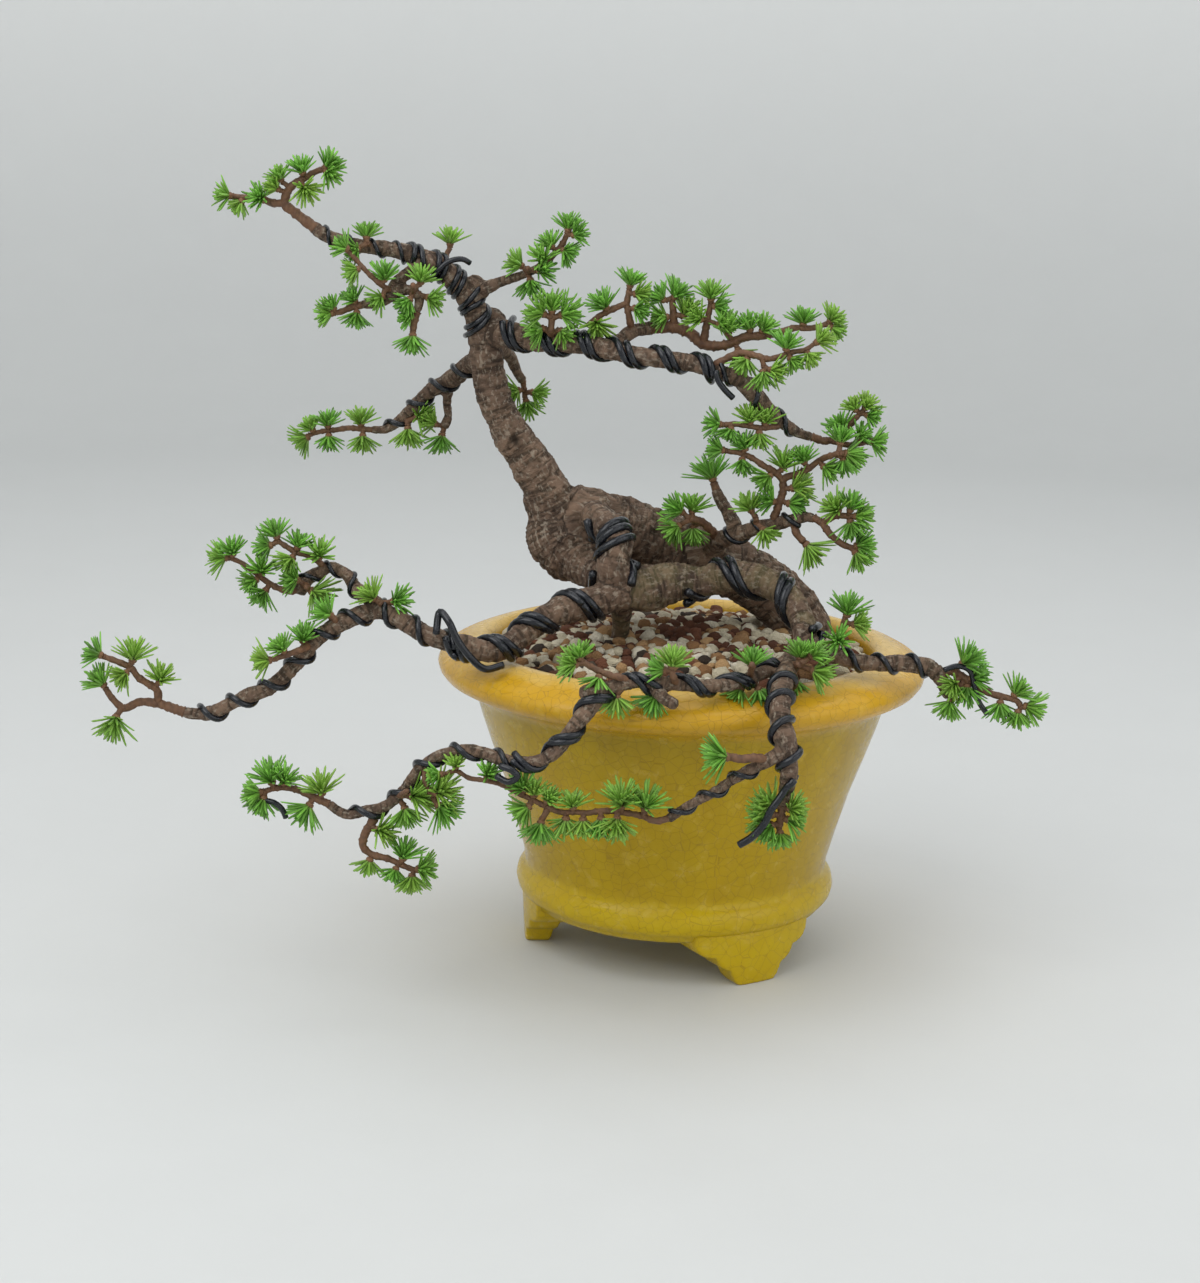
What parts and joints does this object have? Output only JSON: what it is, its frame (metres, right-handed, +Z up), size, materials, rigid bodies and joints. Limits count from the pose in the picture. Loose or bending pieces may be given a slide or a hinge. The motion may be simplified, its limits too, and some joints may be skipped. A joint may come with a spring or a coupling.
{
  "type": "larch bonsai",
  "caption": "Wired larch bonsai with a leaning trunk, sweeping limbs and needle tufts, growing in a round glazed pot on bracket feet.",
  "frame": {"origin": "middle of the outline's underside, on the surface that the pot's feet stand on", "axes": "+X to the right of the front view, +Y away from it, +Z up"},
  "size_m": [0.4164, 0.258, 0.3568],
  "materials": {
    "glaze": "gloss",
    "plastic": "matte",
    "grain": "rough",
    "bark": "rough",
    "anodised": "satin",
    "needle": "satin"
  },
  "bodies": {
    "root": {"drain_mesh": "plastic", "pot": "glaze", "soil": "grain", "spray_apex_tip": "needle", "spray_back_left_hook": "needle", "spray_back_left_mid": "needle", "spray_back_left_tip": "needle", "spray_cross_left": "needle", "spray_cross_mid": "needle", "spray_cross_right": "needle", "spray_fall_top": "needle", "spray_far_left": "needle", "spray_far_tip": "needle", "spray_front_fall_tip": "needle", "spray_front_fork": "needle", "spray_front_long": "needle", "spray_front_rim_bare": "needle", "spray_front_rim_mid": "needle", "spray_front_rim_tip": "needle", "spray_front_twig_fan": "needle", "spray_high_first": "needle", "spray_high_lower": "needle", "spray_high_orange": "needle", "spray_high_upper": "needle", "spray_left_fork": "needle", "spray_left_mid": "needle", "spray_left_tip": "needle", "spray_left_upper_knob": "needle", "spray_left_upper_stem": "needle", "spray_left_upper_tip": "needle", "spray_mid_fan": "needle", "spray_mid_far": "needle", "spray_mid_left": "needle", "spray_mid_low": "needle", "spray_right_end": "needle", "spray_right_up": "needle", "spray_riser": "needle", "spray_small_back": "needle", "spray_top_bend": "needle", "spray_top_front": "needle", "spray_top_hanging": "needle", "spray_top_inner": "needle", "spray_top_orange": "needle", "spray_top_right": "needle", "spray_top_right_inner": "needle", "wire_apex": "anodised", "wire_front_fall": "anodised", "wire_front_rim": "anodised", "wire_front_twig": "anodised", "wire_high_right": "anodised", "wire_knot": "anodised", "wire_left_back": "anodised", "wire_left_front": "anodised", "wire_left_front_second": "anodised", "wire_left_upper": "anodised", "wire_low_arch": "anodised", "wire_mid_right": "anodised", "wire_right_low": "anodised", "wood": "bark"}
  },
  "joints": []
}
